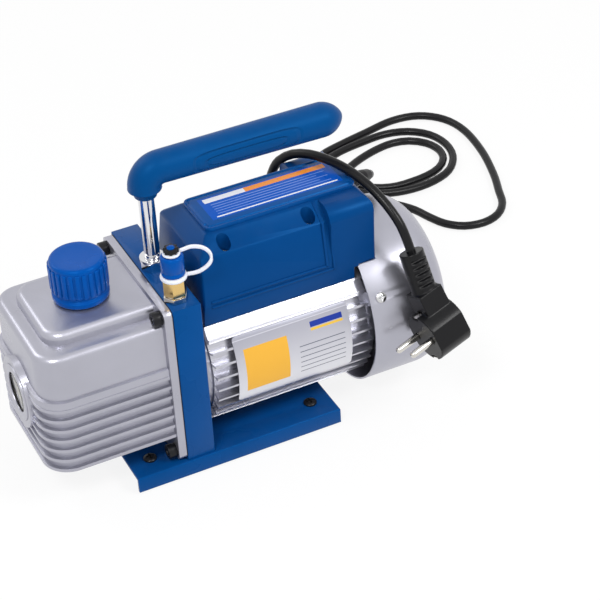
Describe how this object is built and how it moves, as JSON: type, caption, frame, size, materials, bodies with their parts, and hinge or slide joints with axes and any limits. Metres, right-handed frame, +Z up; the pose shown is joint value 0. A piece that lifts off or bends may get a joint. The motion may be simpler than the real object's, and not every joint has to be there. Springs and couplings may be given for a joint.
{
  "type": "rotary vane vacuum pump",
  "caption": "Rotary vane vacuum pump with finned motor, oil case, carry handle, capped intake and mains lead.",
  "frame": {"origin": "middle of the pump's box without its lead, on the floor it stands on", "axes": "+X along the shaft from the oil case to the fan, +Y to the side away from the intake, +Z up"},
  "size_m": [0.4795, 0.385, 0.223],
  "materials": {
    "blue_paint": "deep blue gloss enamel on steel and cast iron",
    "cast_aluminium": "die-cast aluminium, fine satin grain",
    "extruded_aluminium": "bright extruded aluminium fins",
    "machined_steel": "turned steel",
    "bright_steel": "bright zinc-plated steel",
    "black_steel": "black oxide screw heads",
    "chrome": "polished chrome plate",
    "nickel": "nickel plate",
    "brass": "turned brass",
    "blue_plastic": "moulded blue plastic, fine texture",
    "blue_cap_plastic": "brighter blue glossy cap",
    "blue_grip_rubber": "soft blue grip",
    "white_plastic": "soft white strap",
    "black_plastic": "black moulded plastic",
    "black_pvc": "black PVC sheath",
    "black_rubber": "black rubber",
    "lens_glass": "clear sight glass",
    "label_foil": "satin silver foil plate",
    "copper": "enamelled copper windings",
    "carbon_vane": "resin composite vane",
    "capacitor_shell": "light grey plastic can",
    "cast_iron": "machined grey iron"
  },
  "bodies": {
    "root": {"base_plate": "blue_paint", "rubber_feet": "black_rubber", "foot_screws": "black_steel", "block_bolts": "bright_steel", "motor_foot_screws": "bright_steel", "pump_bracket": "blue_paint", "case_gasket": "black_rubber", "oil_case": "cast_aluminium", "case_screws": "black_steel", "drain_plug": "brass", "sight_glass_bezel": "cast_aluminium", "sight_glass_lens": "lens_glass", "fill_cap_seal": "black_rubber", "handle_nut": "chrome", "handle_post": "chrome", "handle_grip": "blue_grip_rubber", "intake_adapter": "nickel", "intake_fitting": "brass", "cap_strap": "white_plastic", "pump_stator": "cast_iron", "pump_end_plate": "cast_iron", "pump_screws": "bright_steel", "exhaust_reed": "bright_steel", "shaft_seal": "black_rubber", "front_bearing": "bright_steel", "rear_bearing": "bright_steel", "motor_front_bell": "cast_aluminium", "motor_housing": "extruded_aluminium", "motor_rear_bell": "cast_aluminium", "stator_core": "machined_steel", "stator_windings": "copper", "rating_plate": "label_foil", "fan_cover": "cast_aluminium", "fan_cover_screws": "bright_steel", "top_cover": "blue_plastic", "lid_panel": "blue_plastic", "cover_screws": "bright_steel", "run_capacitor": "capacitor_shell", "capacitor_clip": "bright_steel", "switch_body": "black_plastic", "cord_gland": "black_pvc", "power_cord": "black_pvc", "plug_body": "black_pvc", "plug_pins": "nickel", "plug_earth_clips": "nickel"},
    "shaft": {"pump_rotor": "machined_steel", "shaft_coupling": "machined_steel", "motor_shaft": "machined_steel", "motor_rotor": "machined_steel", "cooling_fan": "black_plastic", "upper_vane_springs": "bright_steel", "lower_vane_springs": "bright_steel"},
    "upper_vane_body": {"upper_vane": "carbon_vane"},
    "lower_vane_body": {"lower_vane": "carbon_vane"},
    "fill_cap": {"oil_fill_cap": "blue_cap_plastic"},
    "intake_cover": {"intake_cap": "blue_cap_plastic", "cap_knob": "black_steel"},
    "rocker": {"switch_rocker": "black_plastic"}
  },
  "joints": [
    {"name": "shaft_spin", "type": "hinge", "parent": "root", "child": "shaft", "pos_m": [0, 0, 0.0665], "axis": [1, 0, 0], "continuous": true},
    {"name": "upper_vane_slide", "type": "slide", "parent": "shaft", "child": "upper_vane_body", "axis": [0, 0, 1], "range_m": [0, 0.0025], "deforming": ["upper_vane_springs"]},
    {"name": "lower_vane_slide", "type": "slide", "parent": "shaft", "child": "lower_vane_body", "axis": [0, 0, -1], "range_m": [0, 0.0025], "deforming": ["lower_vane_springs"]},
    {"name": "fill_cap_lift", "type": "slide", "parent": "root", "child": "fill_cap", "axis": [0, 0, 1], "range_m": [0, 0.03]},
    {"name": "intake_cap_lift", "type": "slide", "parent": "root", "child": "intake_cover", "axis": [0, 0, 1], "range_m": [0, 0.022], "deforming": ["cap_strap"]},
    {"name": "switch_press", "type": "hinge", "parent": "root", "child": "rocker", "pos_m": [0.09885, -0.016, 0.1425], "axis": [0, 1, 0], "range_deg": [0, 16]}
  ]
}
